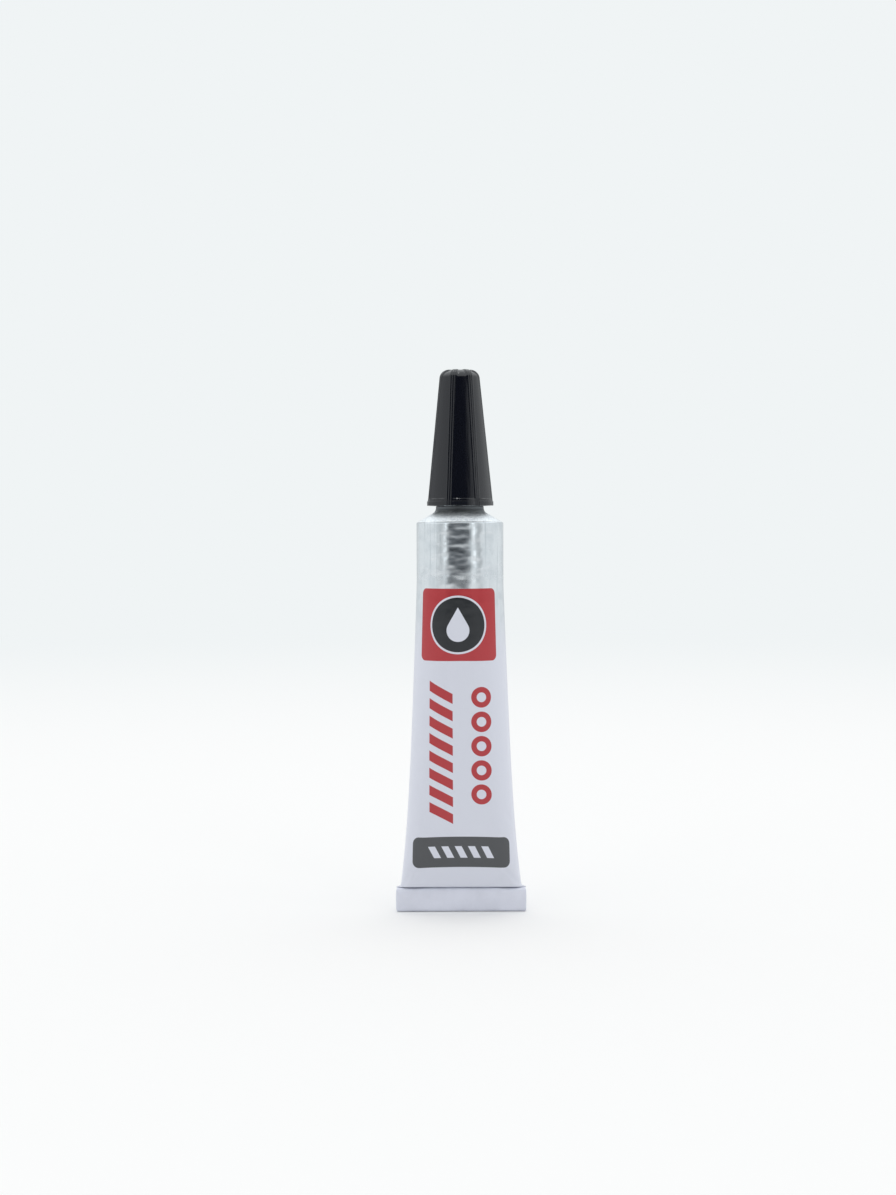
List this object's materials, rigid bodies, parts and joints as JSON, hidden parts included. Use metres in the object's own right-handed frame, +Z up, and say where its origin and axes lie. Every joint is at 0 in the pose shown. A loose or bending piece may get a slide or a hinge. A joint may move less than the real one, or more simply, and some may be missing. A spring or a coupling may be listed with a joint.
{
  "type": "super glue tube",
  "caption": "Small aluminium adhesive tube with a folded flat tail, a conical shoulder, a screw-on piercing nozzle and a tall tapered pull-off cap with flats.",
  "frame": {"origin": "on the floor under the middle of the tube, which stands on the foot of its folded tail", "axes": "+Z up along the tube towards the cap, +X to the right across the flat tail, -Y to the front, where the tail is folded"},
  "size_m": [0.0204, 0.0136, 0.0845],
  "materials": {
    "bare_aluminium": "polished, with fine draw lines",
    "white_lacquer": "satin white lacquer with a plain two-colour print",
    "tail_lacquer": "satin white lacquer, creased",
    "latex": "matt latex film",
    "glue": "clear liquid",
    "foil": "bright foil",
    "nozzle_plastic": "natural polyethylene, slightly see-through",
    "black_plastic": "glossy moulded plastic",
    "pin_steel": "drawn wire"
  },
  "bodies": {
    "tube": {"tube_body": "white_lacquer", "tube_head": "bare_aluminium", "tail_fold": "tail_lacquer", "tail_latex": "latex", "glue": "glue"},
    "foil": {"neck_foil": "foil"},
    "nozzle": {"nozzle": "nozzle_plastic"},
    "cap": {"cap": "black_plastic", "cap_pin": "pin_steel"}
  },
  "joints": [
    {"name": "nozzle_turn", "type": "hinge", "parent": "tube", "child": "foil", "pos_m": [0, 0, 0.0682], "axis": [0, 0, 1], "range_deg": [-366, 1266]},
    {"name": "nozzle_lift", "type": "slide", "parent": "foil", "child": "nozzle", "axis": [0, 0, 1], "range_m": [-0.001, 0.0035], "deforming": ["neck_foil"]},
    {"name": "cap_pull", "type": "slide", "parent": "nozzle", "child": "cap", "axis": [0, 0, 1], "range_m": [0, 0.022]}
  ],
  "couplings": [
    {"joint": "nozzle_turn", "follows": "nozzle_lift", "rad_per_m": 6283.2}
  ]
}
